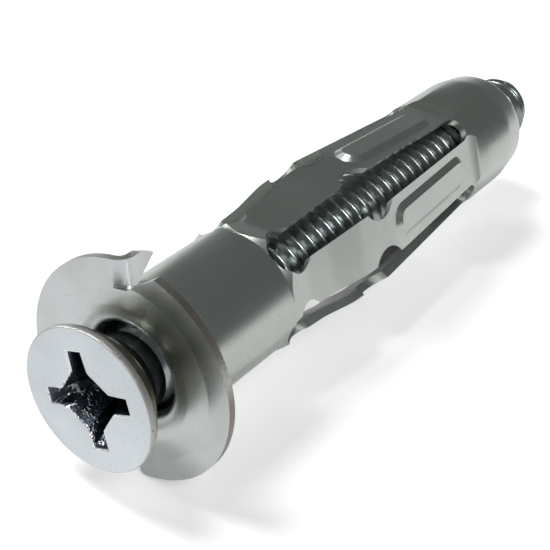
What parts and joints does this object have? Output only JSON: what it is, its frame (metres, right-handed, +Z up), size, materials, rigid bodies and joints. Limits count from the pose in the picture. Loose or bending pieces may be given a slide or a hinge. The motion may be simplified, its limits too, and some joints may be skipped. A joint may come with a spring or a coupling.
{
  "type": "hollow wall anchor",
  "caption": "Zinc plated steel hollow wall anchor with a toothed flange, slotted folding sleeve, captive nut and a countersunk cross recess machine screw.",
  "frame": {"origin": "the centre of the flat ring on the back of the flange, on the axis of the anchor, where the flange bears on the wall", "axes": "+Y along the axis into the wall towards the tail of the screw, +Z up through the middle of the upper notch in the flange, +X to the right seen from the head"},
  "size_m": [0.0166, 0.0605, 0.0166],
  "materials": {
    "plated_sheet": "bright zinc plated pressed steel with a fine grain",
    "plated_nut": "zinc plated steel",
    "plated_screw": "zinc plated turned and rolled steel, slightly bluish"
  },
  "bodies": {
    "sleeve": {"anchor_sleeve": "plated_sheet", "captive_nut": "plated_nut"},
    "screw": {"machine_screw": "plated_screw"}
  },
  "joints": [
    {"name": "screw_travel", "type": "slide", "parent": "sleeve", "child": "screw", "axis": [0, 1, 0], "range_m": [-0.0128, 0.0018]}
  ]
}
